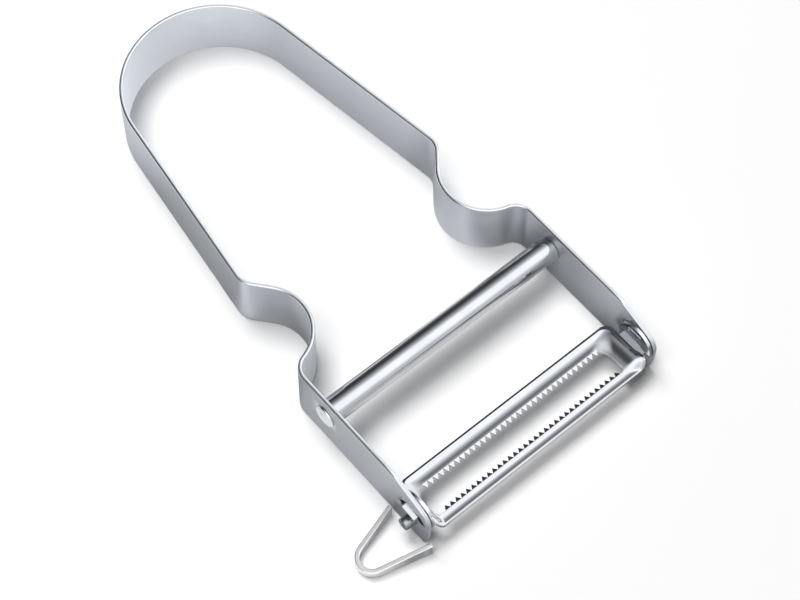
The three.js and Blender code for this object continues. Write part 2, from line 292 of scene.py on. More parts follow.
def bake_modifiers(piece):
    """Turns the evaluated piece into its plain mesh."""
    graph = bpy.context.evaluated_depsgraph_get()
    graph.update()
    evaluated = piece.evaluated_get(graph)
    mesh = bpy.data.meshes.new_from_object(evaluated, preserve_all_data_layers=True, depsgraph=graph)
    if not mesh.polygons:
        raise RuntimeError(piece.name + " has no faces")
    old = piece.data
    piece.modifiers.clear()
    piece.data = mesh
    bpy.data.meshes.remove(old)
    mesh.name = piece.name


def cut_away(piece, build):
    """Takes the solids in build out of the piece."""
    face_outwards(build)
    cutter = new_piece(piece.name + "_cutter", build)
    modifier = piece.modifiers.new("cut", "BOOLEAN")
    modifier.operation = "DIFFERENCE"
    modifier.solver = "EXACT"
    modifier.object = cutter
    bake_modifiers(piece)
    mesh = cutter.data
    bpy.data.objects.remove(cutter)
    bpy.data.meshes.remove(mesh)


def mark_edges(mesh, least_angle):
    """Writes an attribute that is 1 along edges and 0 on faces, for wear."""
    build = bmesh.new()
    build.from_mesh(mesh)
    values = []
    for vertex in build.verts:
        sharpest = 0.0
        for edge in vertex.link_edges:
            if len(edge.link_faces) == 2:
                sharpest = max(sharpest, edge.calc_face_angle(0.0))
        values.append(1.0 if sharpest > least_angle else 0.0)
    build.free()
    attribute = mesh.attributes.new("edge", "FLOAT", "POINT")
    attribute.data.foreach_set("value", values)


def shade(piece, sharp_degrees=38.0, wear_degrees=12.0):
    mesh = piece.data
    mesh.shade_smooth()
    mesh.set_sharp_from_angle(angle=math.radians(sharp_degrees))
    modifier = piece.modifiers.new("even_normals", "WEIGHTED_NORMAL")
    modifier.mode = "FACE_AREA"
    modifier.weight = 50
    modifier.keep_sharp = True
    bake_modifiers(piece)
    mark_edges(piece.data, math.radians(wear_degrees))


def hand_over(piece, material, body, node):
    piece.data.materials.clear()
    piece.data.materials.append(material)
    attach(piece, body)
    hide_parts(node)


# Finishes

class Nodes:
    """Adds nodes and links to one tree."""

    def __init__(self, tree):
        self.tree = tree

    def put(self, socket, value):
        if isinstance(value, bpy.types.NodeSocket):
            self.tree.links.new(value, socket)
        else:
            socket.default_value = value

    def add(self, kind, inputs=(), **settings):
        """A new node with its settings, and with inputs listed by name or place."""
        node = self.tree.nodes.new(kind)
        for key, value in settings.items():
            setattr(node, key, value)
        for key, value in dict(inputs).items():
            self.put(node.inputs[key], value)
        return node

    def get(self, kind, inputs=(), output=0, **settings):
        """One output of a new node."""
        return self.add(kind, inputs, **settings).outputs[output]

    def split(self, vector):
        return tuple(self.add("ShaderNodeSeparateXYZ", {0: vector}).outputs)

    def vector(self, *parts):
        return self.get("ShaderNodeCombineXYZ", enumerate(parts))

    def math(self, operation, first, second=0.0):
        return self.get("ShaderNodeMath", {0: first, 1: second}, operation=operation)

    def spread(self, value, from_low, from_high, to_low, to_high, kind="LINEAR"):
        ends = enumerate((value, from_low, from_high, to_low, to_high))
        return self.get("ShaderNodeMapRange", ends, interpolation_type=kind)

    def mix(self, factor, first, second):
        return self.get("ShaderNodeMix", {0: factor, 6: first, 7: second}, 2, data_type="RGBA")

    def mix_shaders(self, factor, first, second):
        return self.get("ShaderNodeMixShader", {0: factor, 1: first, 2: second})

    def noise(self, vector, scale, detail, stretch=(1.0, 1.0, 1.0)):
        stretched = self.get("ShaderNodeMapping", {"Vector": vector, "Scale": stretch})
        return self.get("ShaderNodeTexNoise", {"Vector": stretched, "Scale": scale, "Detail": detail}, "Fac")

    def table(self, value, entries):
        """Level read from a table of places and levels."""
        low, high = entries[0][0], entries[-1][0]
        brightest = max(level for _, level in entries)
        curve = self.add("ShaderNodeValToRGB", {0: self.spread(value, low, high, 0.0, 1.0)})
        steps = curve.color_ramp.elements
        for place, _ in entries[1:-1]:
            steps.new((place - low) / (high - low))
        for step, (_, level) in zip(steps, entries):
            step.color = (level / brightest,) * 3 + (1.0,)
        return self.math("MULTIPLY", curve.outputs[0], brightest)

    def between(self, factor, first, second):
        return self.math("ADD", first, self.math("MULTIPLY", self.math("SUBTRACT", second, first), factor))

    def mirrored(self):
        """1 for rays that metal or glass sends on."""
        ray = self.add("ShaderNodeLightPath").outputs
        return self.math("MAXIMUM", ray["Is Glossy Ray"], ray["Is Transmission Ray"])


def cleared(owner):
    """Empty node tree of a material or a world."""
    owner.use_nodes = True
    owner.node_tree.nodes.clear()
    return Nodes(owner.node_tree)


def shaded(base, amount):
    return tuple(min(1.0, channel * amount) for channel in base) + (1.0,)


# Levels of a noise between which it is spread, and its detail for grain, clouds and scuffs
NOISE_ENDS = (0.3, 0.7)
SCUFF_ENDS = (0.35, 0.65)
GRAIN_DETAIL, CLOUD_DETAIL, SCUFF_DETAIL = 2.0, 4.0, 5.0
SCUFF_SCALE = 9
# Tones of a steel against its colour: dull and bright clouds, grain lines and worn edges
DULL, BRIGHT, LINED, WORN = 0.94, 1.05, 0.72, 1.06
LINE_SHARE = 0.12
WEAR = (0.2, 0.9)
LINE_ROUGHNESS = 0.3
EDGE_ROUGHNESS = 0.15
BUMP = 0.35
# The strip is drawn along its length; painted shade makes its colour darker towards its foot and brighter
# towards its upper edge
STRIP_PAINTED_SHADE = (0.86, 1.13)
DRAWN, DRAWN_TURN = 0.85, 0.25

# Setting of each finish, stretch and depth of its grain, scale of its clouds and spread of its roughness
STEELS = {
    "brushed_steel": ("satin", (260.0, 7000.0, 1.0), 0.000004, 90.0, 0.04),
    "polished_steel": ("polished", (120.0, 5000.0, 5000.0), 0.0000012, 160.0, 0.02),
    "tumbled_steel": ("tumbled", (2600.0, 2600.0, 2600.0), 0.000006, 220.0, 0.06),
    # The pins' steel is darker than the others, painted shade
    "cut_steel": ("cut", (500.0, 3000.0, 3000.0), 0.000002, 250.0, 0.03),
    # The riveted ends' steel is brighter than the bar's, a painted highlight
    "hammered_steel": ("hammered", (900.0, 900.0, 900.0), 0.000004, 300.0, 0.05),
    "stamped_steel": ("stamped", (900.0, 900.0, 900.0), 0.000003, 200.0, 0.04),
}


def steel_finish(name):
    """Steel with a drawn or ground grain, clouded polish and edges that are worn brighter; on the strip,
    painted shade darker towards its foot.
    """
    kind, grain_stretch, grain_depth, cloud_scale, uneven = STEELS[name]
    drawn = kind == "satin"
    base = getattr(bpy.context.scene.peeler_finishes, kind)
    roughness = getattr(bpy.context.scene.peeler_finishes, kind + "_roughness")
    material = bpy.data.materials.new(name)
    nodes = cleared(material)
    place = nodes.add("ShaderNodeTexCoord").outputs
    lines = nodes.noise(place["UV" if drawn else "Object"], 1.0, GRAIN_DETAIL, grain_stretch)
    clouds = nodes.noise(place["Object"], cloud_scale, CLOUD_DETAIL)
    scuffs = nodes.noise(place["Object"], SCUFF_SCALE * cloud_scale, SCUFF_DETAIL)
    edge = nodes.get("ShaderNodeAttribute", output="Fac", attribute_name="edge")
    worn = nodes.math("MULTIPLY", edge, nodes.spread(scuffs, *SCUFF_ENDS, *WEAR))
    cloudy = nodes.spread(clouds, *NOISE_ENDS, 0.0, 1.0)
    tone = nodes.mix(cloudy, shaded(base, DULL), shaded(base, BRIGHT))
    tone = nodes.mix(nodes.spread(lines, *NOISE_ENDS, 0.0, LINE_SHARE), tone, shaded(base, LINED))
    tone = nodes.mix(worn, tone, shaded(base, WORN))
    rough = nodes.spread(clouds, *NOISE_ENDS, roughness - uneven, roughness + uneven)
    fine = LINE_ROUGHNESS * uneven
    rough = nodes.math("ADD", rough, nodes.spread(lines, *NOISE_ENDS, -fine, fine))
    smoother = nodes.math("MULTIPLY", edge, max(0.0, roughness - EDGE_ROUGHNESS))
    inputs = {
        "Roughness": nodes.math("SUBTRACT", rough, smoother), "Metallic": 1.0,
        "Normal": nodes.get("ShaderNodeBump", {"Strength": BUMP, "Distance": grain_depth, "Height": lines}),
    }
    if drawn:
        # Painted shade: the strip's colour is scaled from darker at its foot to brighter at its upper edge
        _, _, height = nodes.split(place["Object"])
        scale = nodes.spread(height, 0.0, STRIP_HIGH[2], *STRIP_PAINTED_SHADE)
        tone = nodes.get("ShaderNodeVectorMath", {0: tone, "Scale": scale}, operation="SCALE")
        inputs["Anisotropic"], inputs["Anisotropic Rotation"] = DRAWN, DRAWN_TURN
        inputs["Tangent"] = nodes.get("ShaderNodeTangent", direction_type="UV_MAP", uv_map="strip")
    shader = nodes.get("ShaderNodeBsdfPrincipled", {"Base Color": tone, **inputs})
    nodes.add("ShaderNodeOutputMaterial", {"Surface": shader})
    return material


def steel(name):
    return bpy.data.materials.get(name) or steel_finish(name)


# Handle strip

def strip_walk(sizes, arm_end):
    """Middle line of the right half of the strip from the bow: x, y, heading and length walked."""
    walk = [(0.0, 0.0, 0.0, 0.0)]

    def forward(distance, steps):
        for _ in range(steps):
            x, y, heading, gone = walk[-1]
            step = distance / steps
            walk.append((x + step * math.cos(heading), y + step * math.sin(heading), heading, gone + step))

    def bend(radius, target, steps):
        turn = (target - walk[-1][2]) / steps
        chord = 2 * radius * math.sin(abs(turn) / 2)
        for _ in range(steps):
            x, y, heading, gone = walk[-1]
            middle = heading + turn / 2
            x += chord * math.cos(middle)
            y += chord * math.sin(middle)
            walk.append((x, y, heading + turn, gone + radius * abs(turn)))

    down = -math.pi / 2
    bend(sizes.bow_radius, down + sizes.grip_splay, 60)
    forward(sizes.grip_length, 12)
    bend(sizes.heel_radius, down - sizes.heel_angle, 24)
    forward(sizes.heel_flat, 2)
    bend(sizes.notch_radius, down + sizes.notch_angle, 48)
    forward(sizes.shoulder_flat, 1)
    bend(sizes.shoulder_radius, down, 28)
    forward(walk[-1][1] - arm_end, 10)
    return walk


class StripEdge:
    """A point on an edge of the strip, with the way into the sheet as a step along and a step up."""

    def __init__(self, x, y, heading, gone, z, along, up, radius):
        self.x, self.y, self.heading, self.gone, self.z = x, y, heading, gone, z
        self.along, self.up, self.radius = along, up, radius

    def rounding(self, half_thick):
        """Steps in and sideways over the edge, from the outer face to the inner one."""
        half = [
            (self.radius * (1 - math.sin(turn)), half_thick - self.radius * (1 - math.cos(turn)))
            for turn in (math.pi / 2 * i / 5 for i in range(6))
        ]
        return half + [(inset, -offset) for inset, offset in reversed(half)]

    def at(self, inset, offset):
        x = self.x + math.cos(self.heading) * self.along * inset - math.sin(self.heading) * offset
        y = self.y + math.sin(self.heading) * self.along * inset + math.cos(self.heading) * offset
        return Vector((x, y, self.z + self.up * inset)), self.gone + self.along * inset


def tip_edges(sizes, last, height):
    """Upper and lower edge of one tip, from the start of the slope to the nose."""
    x, start_y, heading, gone = last
    nose = sizes.nose_round
    slope = math.atan2(sizes.taper_drop, sizes.taper_length)
    crown_y = NOSE_Y + nose
    crown_z = height - sizes.taper_drop - nose / math.cos(slope) + nose * math.tan(slope)
    foot_radius = (sizes.nose_full_height ** 2 + sizes.nose_setback ** 2) / (2 * sizes.nose_setback)
    foot_sweep = math.asin(sizes.nose_full_height / foot_radius)

    def edge(y, z, inward_y, inward_z):
        return StripEdge(x, y, heading, gone + start_y - y, z, -inward_y, inward_z, sizes.tip_round)

    upper = []
    slope_end = (crown_y + nose * math.cos(math.pi / 2 + slope), crown_z + nose * math.cos(slope))
    for i in range(1, 7):
        part = i / 6
        upper.append(edge(
            start_y + (slope_end[0] - start_y) * part, height + (slope_end[1] - height) * part,
            math.sin(slope), -math.cos(slope)
        ))
    for i in range(1, 15):
        turn = math.pi / 2 + slope + (math.pi / 2 - slope) * i / 14
        upper.append(edge(
            crown_y + nose * math.cos(turn), crown_z + nose * math.sin(turn),
            -math.cos(turn), -math.sin(turn)
        ))
    lower = []
    foot_y = NOSE_Y + sizes.nose_setback
    for i in range(1, 10):
        lower.append(edge(start_y + (foot_y - start_y) * i / 10, 0.0, 0.0, 1.0))
    corner = Vector((math.cos(foot_sweep), math.sin(foot_sweep))) + Vector((0.0, 1.0))
    corner /= 1 + math.sin(foot_sweep)
    lower.append(edge(foot_y, 0.0, corner.x, corner.y))
    for i in range(1, 11):
        turn = math.pi + foot_sweep * (1 - i / 10)
        lower.append(edge(
            NOSE_Y + foot_radius + foot_radius * math.cos(turn),
            sizes.nose_full_height + foot_radius * math.sin(turn), -math.cos(turn), -math.sin(turn)
        ))
    return upper, lower


# Distance of the first row of points on a face from the rounding, and the rows between as parts of the height
ROW_INSET = 0.28 * MM
ROWS_BETWEEN = [0.2, 0.4, 0.6, 0.8]


def strip_mesh(sizes, height):
    walk = strip_walk(sizes, NOSE_Y + sizes.taper_length)
    upper = [StripEdge(*step, height, 0.0, -1.0, sizes.edge_round) for step in walk]
    lower = [StripEdge(*step, 0.0, 0.0, 1.0, sizes.edge_round) for step in walk]
    tip_upper, tip_lower = tip_edges(sizes, walk[-1], height)
    upper += tip_upper
    lower += tip_lower
    half_thick = sizes.thick / 2
    near_edge = ROW_INSET / height
    rows = [near_edge] + ROWS_BETWEEN + [1 - near_edge]

    build = bmesh.new()
    flat = build.loops.layers.uv.new("strip")
    spots = {}

    def spot(place, gone, mirrored):
        vertex = build.verts.new((-place.x, place.y, place.z) if mirrored else place)
        spots[vertex] = (-gone if mirrored else gone, place.z)
        return vertex

    def between(top, bottom, offset, part, mirrored):
        first, first_gone = top.at(top.radius, offset)
        last, last_gone = bottom.at(bottom.radius, offset)
        return spot(first.lerp(last, part), first_gone + (last_gone - first_gone) * part, mirrored)

    def column(top, bottom, mirrored):
        over = [spot(*top.at(*step), mirrored) for step in top.rounding(half_thick)]
        inside = [between(top, bottom, -half_thick, part, mirrored) for part in rows]
        under = [spot(*bottom.at(*step), mirrored) for step in reversed(bottom.rounding(half_thick))]
        outside = [between(top, bottom, half_thick, part, mirrored) for part in reversed(rows)]
        return over, inside, under, outside

    right = [column(top, bottom, False) for top, bottom in zip(upper, lower)]
    left = [column(top, bottom, True) for top, bottom in zip(upper[1:], lower[1:])]
    around = [sum(parts, []) for parts in left[::-1] + right]
    for first, second in zip(around, around[1:]):
        loop_faces(build, first, second)
    for (over, inside, under, outside), mirrored in ((right[-1], False), (left[-1], True)):
        cap = [over]
        for row, part in enumerate(rows):
            middle = []
            for inset, offset in upper[-1].rounding(half_thick)[1:-1]:
                first, first_gone = upper[-1].at(inset, offset)
                last, _ = lower[-1].at(inset, offset)
                edge_first, _ = upper[-1].at(upper[-1].radius, offset)
                edge_last, _ = lower[-1].at(lower[-1].radius, offset)
                place = first.lerp(last, part)
                place.z = edge_first.z + (edge_last.z - edge_first.z) * part
                middle.append(spot(place, first_gone, mirrored))
            cap.append([outside[len(rows) - 1 - row]] + middle + [inside[row]])
        cap.append(under[::-1])
        for first, second in zip(cap, cap[1:]):
            for i in range(len(first) - 1):
                build.faces.new((first[i], first[i + 1], second[i + 1], second[i]))
    face_outwards(build)
    for face in build.faces:
        for corner in face.loops:
            corner[flat].uv = spots[corner.vert]
    return build


def window_outline(blade):
    """Ring sector about the pivot in which the blade's tab swings."""
    inner = blade.tab_rise - blade.tab_gap
    outer = math.hypot(blade.tab_half, blade.tab_rise + blade.tab_thick) + blade.tab_gap
    reach = math.atan2(blade.tab_half + blade.tab_gap, blade.tab_rise) + blade.swing
    up = math.pi / 2
    return (
        arc(PIVOT_Y, PIVOT_Z, outer, up - reach, up + reach, 32)
        + arc(PIVOT_Y, PIVOT_Z, inner, up + reach, up - reach, 26)
    )


def round_outline(y, z, radius, sides=64):
    return arc(y, z, radius, 0.0, 2 * math.pi, sides)[:-1]


# How far a cutter reaches past the sheet that it cuts
CUT_MARGIN = 0.5 * MM


class PEELER_OT_handle_strip(bpy.types.Operator):
    """Makes the bent strip with its sloped tips, windows and holes"""

    bl_idname = "peeler.handle_strip"
    bl_label = "Handle Strip"

    def execute(self, context):
        sizes = context.scene.peeler_handle
        bar = context.scene.peeler_bar
        blade = context.scene.peeler_blade
        strip = new_piece("bent_strip", strip_mesh(sizes, STRIP_HIGH[2]))
        build = bmesh.new()
        inside = ARM_OUTSIDE - sizes.thick - CUT_MARGIN
        outside = ARM_OUTSIDE + CUT_MARGIN
        for near, far in ((inside, outside), (-outside, -inside)):
            add_prism_across(build, window_outline(blade), near, far)
            add_prism_across(build, round_outline(PIVOT_Y, PIVOT_Z, bar.pin_radius + bar.seat_gap), near, far)
            add_prism_across(build, round_outline(BAR_Y, BAR_Z, bar.tenon_radius + bar.seat_gap), near, far)
        cut_away(strip, build)
        shade(strip)
        hand_over(strip, steel("brushed_steel"), "frame", "handle_strip")
        return {"FINISHED"}


# Names and signs of the two sides
SIDES = (("left", -1), ("right", 1))
# Steps round the bar, round a riveted end or a pin, and round each of their edges
BAR_SIDES, PIN_SIDES, EDGE_STEPS = 96, 64, 4
BAR_EDGE = 0.2 * MM
BAR_PARTS = 12
# How far the tenon goes into the riveted end, as a share of its height
TENON_SHARE = 0.5
# Rim and ring of a riveted end: depth under its top and radius as shares of its size, and rounding
RIVET_RIM = (0.5, 1.0, 0.3 * MM)
RIVET_CREST = (0.18, 0.74, 0.12 * MM)
RIVET_RING = (0.3, 0.56, 0.1 * MM)
RIVET_CROWN = (0.0, 0.4, 0.25 * MM)
RIVET_FOOT_ROUND = 0.05 * MM
# End of a pin: its flat rim and its hollow as shares of its radius, depth of the hollow, and roundings
PIN_RIM, PIN_HOLLOW = 0.62, 0.5
HOLLOW_DEPTH = 0.12 * MM
PIN_ROUNDS = (0.0, 0.1 * MM, 0.34 * MM, 0.05 * MM, 0.05 * MM, 0.0)


class PEELER_OT_cross_bar(bpy.types.Operator):
    """Makes the round bar with its riveted ends"""

    bl_idname = "peeler.cross_bar"
    bl_label = "Cross Bar"

    def execute(self, context):
        sizes = context.scene.peeler_bar
        thick = context.scene.peeler_handle.thick
        shoulder = ARM_OUTSIDE - thick - sizes.seat_gap
        seat = ARM_OUTSIDE + sizes.seat_gap
        top = seat + sizes.rivet_height
        tenon_end = seat + TENON_SHARE * sizes.rivet_height
        corners = [
            (0.0, sizes.radius), (shoulder, sizes.radius), (shoulder, sizes.tenon_radius),
            (tenon_end, sizes.tenon_radius), (tenon_end, 0.0), (0.0, 0.0),
        ]
        half = filleted(corners, [0.0, BAR_EDGE, 0.0, 0.0, 0.0, 0.0], EDGE_STEPS)[1:-1]
        middle = [(shoulder * i / BAR_PARTS, sizes.radius) for i in range(1 - BAR_PARTS, BAR_PARTS)]
        profile = [(-x, radius) for x, radius in reversed(half)] + middle + half
        bar = turned_piece("cross_bar_polished", profile, BAR_Y, BAR_Z, BAR_SIDES)
        hand_over(bar, steel("polished_steel"), "frame", "cross_bar")
        corners = [(seat, 0.0), (seat, sizes.rivet_radius)]
        radii = [0.0, RIVET_FOOT_ROUND]
        for depth, part, rounding in (RIVET_RIM, RIVET_CREST, RIVET_RING, RIVET_CROWN):
            corners.append((top - depth * sizes.rivet_height, part * sizes.rivet_radius))
            radii.append(rounding)
        head = filleted(corners + [(top, 0.0)], radii + [0.0], EDGE_STEPS)
        for side, sign in SIDES:
            profile = [(sign * x, radius) for x, radius in head]
            rivet = turned_piece("rivet_head_" + side, profile, BAR_Y, BAR_Z, PIN_SIDES)
            # The riveted ends carry a painted highlight in their brighter colour
            hand_over(rivet, steel("hammered_steel"), "frame", "cross_bar")
        return {"FINISHED"}


class PEELER_OT_pivot_pins(bpy.types.Operator):
    """Makes the two pivot pins"""

    bl_idname = "peeler.pivot_pins"
    bl_label = "Pivot Pins"

    def execute(self, context):
        radius = context.scene.peeler_bar.pin_radius
        inner, outer = PIN_LOW[0], PIN_HIGH[0]
        corners = [
            (inner, 0.0), (inner, radius), (outer, radius), (outer, PIN_RIM * radius),
            (outer - HOLLOW_DEPTH, PIN_HOLLOW * radius), (outer - HOLLOW_DEPTH, 0.0),
        ]
        half = filleted(corners, PIN_ROUNDS, EDGE_STEPS)
        for side, sign in SIDES:
            profile = [(sign * x, reach) for x, reach in half]
            pin = turned_piece("pivot_pin_" + side + "_polished", profile, PIVOT_Y, PIVOT_Z, PIN_SIDES)
            # The pins carry painted shade in their darker colour
            hand_over(pin, steel("cut_steel"), "frame", "pivot_pin_" + side)
        return {"FINISHED"}


# Blade

# Outward lean of the top of the sheet in degrees at distances from the pivot line in millimetres
REAR_LEANS = (
    (3.45, -1), (3.55, 2), (3.76, 6.5), (3.96, 8), (4.16, 6.5), (4.36, 2), (4.55, -2.5), (4.74, -5.5),
    (4.92, -8), (5.1, -14), (5.3, -24), (5.6, -29), (5.78, -29), (5.85, 0), (5.91, 19), (6.18, 23),
    (6.26, 32), (6.3, 70),
)
FRONT_LEANS = (
    (2.85, 0), (2.95, 10), (3.08, 18), (3.27, 22), (3.45, 16), (3.56, 9), (3.7, 4), (3.86, 0), (4.05, -6),
    (4.25, -9), (4.4, -6), (4.5, 0), (4.6, 12), (4.7, 25), (4.8, 50), (4.85, 75),
)


def leaning_profile(leans, rise):
    """Distances and heights of a surface that starts at a height and leans as listed."""
    points = [(leans[0][0] * MM, rise)]
    for (near, first), (far, last) in zip(leans, leans[1:]):
        for i in range(3):
            lean = math.radians(first + (last - first) * (i + 0.5) / 3)
            step = (far - near) * MM / 3
            distance, height = points[-1]
            points.append((distance + step, height - step * math.tan(lean)))
    return points


def blade_half_length(sizes, strip_thick):
    return ARM_OUTSIDE - strip_thick - sizes.end_gap


def smooth_step(value, low, high):
    part = min(1.0, max(0.0, (value - low) / (high - low)))
    return part * part * (3 - 2 * part)


def profile_height(points, part):
    """Height of a profile at a part of its width."""
    place = points[0][0] + (points[-1][0] - points[0][0]) * part
    for (near, low), (far, high) in zip(points, points[1:]):
        if place <= far:
            return low + (high - low) * (place - near) / (far - near)
    return points[-1][1]


# Parts of the width over which a sheet end rises from the slot and falls to its edge, and that fall
END_RISE = (0.02, 0.7)
END_FALL = (0.86, 1.0)
END_DROP = 0.2 * MM
# Steps along a long side, a short side and a corner of the sheet
SIDE_STEPS, END_STEPS, CORNER_STEPS = 60, 10, 14


def sheet_mesh(sizes, half_length):
    """Pressed sheet as a ring about the slot, with its own section behind, before and beyond the slot."""
    reach = half_length - sizes.slot_end_bridge
    left, right = sizes.slot_shift - reach, sizes.slot_shift + reach
    rear_points = leaning_profile(REAR_LEANS, sizes.gum_rise)
    front_points = leaning_profile(FRONT_LEANS, sizes.gum_rise)

    def rear(part):
        return profile_height(rear_points, part)

    def front(part):
        return profile_height(front_points, part)

    def end(part):
        low = sizes.gum_rise - 0.5 * sizes.tooth_fall
        rise = (sizes.end_rise - low) * smooth_step(part, *END_RISE)
        return low + rise - END_DROP * smooth_step(part, *END_FALL)

    def corner(x, outer_x, y, outer_y, radius):
        turn_x, turn_y = math.copysign(1.0, outer_x), math.copysign(1.0, outer_y)
        inner = (x - turn_x * radius, y - turn_y * radius, radius)
        outer = (outer_x - turn_x * sizes.corner, outer_y - turn_y * sizes.corner, sizes.corner)
        return inner, outer

    rear_y, front_y = sizes.rear_gum, -sizes.front_gum
    corners = [
        corner(right, half_length, rear_y, sizes.rear_edge, sizes.slot_rear_round),
        corner(left, -half_length, rear_y, sizes.rear_edge, sizes.slot_rear_round),
        corner(left, -half_length, front_y, -sizes.front_edge, sizes.slot_front_round),
        corner(right, half_length, front_y, -sizes.front_edge, sizes.slot_front_round),
    ]
    sides = [(rear, SIDE_STEPS), (end, END_STEPS), (front, SIDE_STEPS), (end, END_STEPS)]

    def on_arc(circle, turn):
        return Vector((circle[0] + circle[2] * math.cos(turn), circle[1] + circle[2] * math.sin(turn)))

    stations = []
    for i, (inner, outer) in enumerate(corners):
        before, (after, steps) = sides[i - 1][0], sides[i]
        for k in range(CORNER_STEPS + 1):
            part = k / CORNER_STEPS
            turn = math.pi / 2 * (i + part)
            blend = smooth_step(part, 0.0, 1.0)
            stations.append((on_arc(inner, turn), on_arc(outer, turn), before, after, blend))
        next_inner, next_outer = corners[(i + 1) % 4]
        turn = math.pi / 2 * (i + 1)
        for k in range(1, steps):
            part = k / steps
            near = on_arc(inner, turn).lerp(on_arc(next_inner, turn), part)
            far = on_arc(outer, turn).lerp(on_arc(next_outer, turn), part)
            stations.append((near, far, after, after, 1.0))
    parts = sorted({i / 32 for i in range(33)} | {0.8 + 0.2 * i / 16 for i in range(17)})

    build = bmesh.new()
    top, under = [], []
    for near, far, before, after, blend in stations:
        upper_row, lower_row = [], []
        for part in parts:
            place = near.lerp(far, part)
            height = before(part) + (after(part) - before(part)) * blend
            height -= sizes.end_lean * place.y * ((before is end) * (1.0 - blend) + (after is end) * blend)
            upper_row.append(build.verts.new((place.x, PIVOT_Y + place.y, PIVOT_Z + height)))
            lower_row.append(build.verts.new((place.x, PIVOT_Y + place.y, PIVOT_Z + height - sizes.thick)))
        top.append(upper_row)
        under.append(lower_row)
    count = len(stations)
    for i in range(count):
        k = (i + 1) % count
        for j in range(len(parts) - 1):
            build.faces.new((top[i][j], top[i][j + 1], top[k][j + 1], top[k][j]))
            build.faces.new((under[i][j], under[k][j], under[k][j + 1], under[i][j + 1]))
        build.faces.new((top[i][0], top[k][0], under[k][0], under[i][0]))
        build.faces.new((top[i][-1], under[i][-1], under[k][-1], top[k][-1]))
    face_outwards(build)
    return build


def new_tree(name, inputs):
    """Nodes of a tree that turns a geometry and named values into a geometry, and those values."""
    tree = bpy.data.node_groups.new(name, "GeometryNodeTree")
    for label, kind in {"Geometry": "Geometry", **inputs}.items():
        tree.interface.new_socket(label, in_out="INPUT", socket_type="NodeSocket" + kind)
    tree.interface.new_socket("Geometry", in_out="OUTPUT", socket_type="NodeSocketGeometry")
    nodes = Nodes(tree)
    return nodes, nodes.add("NodeGroupInput").outputs


def end_tree(nodes, geometry, material):
    """Ends a tree with plain geometry in its steel."""
    real = nodes.get("GeometryNodeRealizeInstances", {"Geometry": geometry})
    dressed = nodes.get("GeometryNodeSetMaterial", {"Geometry": real, "Material": material})
    nodes.add("NodeGroupOutput", {"Geometry": dressed})
    return nodes.tree


# Width of a tooth at its root against the pitch, and how much of it is gone at its tip
ROOT_WIDTH, TIP_LOSS = 0.985, 0.945


def teeth_tree():
    """Two facing rows of ground teeth, made from one tooth."""
    lengths = dict.fromkeys(("Pitch", "Root", "Tip", "Top", "Thickness", "Fall"), "Float")
    values = {"Teeth": "Int", **lengths, "Middle": "Vector", "Steel": "Material"}
    nodes, sizes = new_tree("tooth_rows", values)
    pitch, root, tip, thick = (sizes[name] for name in ("Pitch", "Root", "Tip", "Thickness"))
    tooth_length = nodes.math("SUBTRACT", root, tip)
    size = nodes.vector(pitch, tooth_length, thick)
    block = nodes.get("GeometryNodeMeshCube", {"Size": size, "Vertices Y": 4})
    x, y, z = nodes.split(nodes.get("GeometryNodeInputPosition"))
    to_tip = nodes.math("SUBTRACT", 0.5, nodes.math("DIVIDE", y, tooth_length))
    upper = nodes.math("GREATER_THAN", z, 0.0)
    narrow = nodes.math("SUBTRACT", ROOT_WIDTH, nodes.math("MULTIPLY", to_tip, TIP_LOSS))
    height = nodes.math("SUBTRACT", sizes["Top"], nodes.math("MULTIPLY", thick, 0.5))
    drop = nodes.math("MULTIPLY", nodes.math("MULTIPLY", to_tip, sizes["Fall"]), upper)
    centre = nodes.math("MULTIPLY", nodes.math("ADD", root, tip), 0.5)
    shaped = nodes.vector(
        nodes.math("MULTIPLY", x, narrow), nodes.math("ADD", y, centre),
        nodes.math("ADD", z, nodes.math("SUBTRACT", height, drop)),
    )
    tooth = nodes.get("GeometryNodeSetPosition", {"Geometry": block, "Position": shaped})
    spaces = nodes.math("SUBTRACT", sizes["Teeth"], 1.0)
    first_x = nodes.math("MULTIPLY", spaces, nodes.math("MULTIPLY", pitch, -0.5))
    row = nodes.get("GeometryNodeMeshLine", {
        "Count": sizes["Teeth"], "Start Location": nodes.vector(first_x), "Offset": nodes.vector(pitch),
    })
    rows = nodes.add("GeometryNodeJoinGeometry")
    for turn in (0.0, math.pi):
        nodes.put(rows.inputs["Geometry"], nodes.get("GeometryNodeInstanceOnPoints", {
            "Points": row, "Instance": tooth, "Rotation": (0.0, 0.0, turn),
        }))
    moved = nodes.get("GeometryNodeTransform", {"Geometry": rows.outputs[0], "Translation": sizes["Middle"]})
    return end_tree(nodes, moved, sizes["Steel"])


def run_tree(piece, tree, values):
    """Runs a node tree on the piece with its named sizes, and keeps the plain mesh."""
    modifier = piece.modifiers.new(tree.name, "NODES")
    modifier.node_group = tree
    sockets = {item.name: item.identifier for item in tree.interface.items_tree if item.in_out == "INPUT"}
    for name, value in values.items():
        modifier[sockets[name]] = value
    bake_modifiers(piece)


# Play round a pin in an ear, overlap of joined sheets, and reach of the neck under the sheet
PIN_PLAY = 0.08 * MM
OVERLAP = 0.02 * MM
NECK_REACH = 0.3 * MM
# Fall of the top of a tab outwards and to the front, and the edges of an ear
TAB_FALL_OUT, TAB_FALL_FRONT = 0.25 * MM, 0.3 * MM
EAR_EDGE, EAR_EDGE_ANGLE = 0.1 * MM, 50
# Thickness of a tooth against the sheet
TOOTH_THICKNESS = 0.96


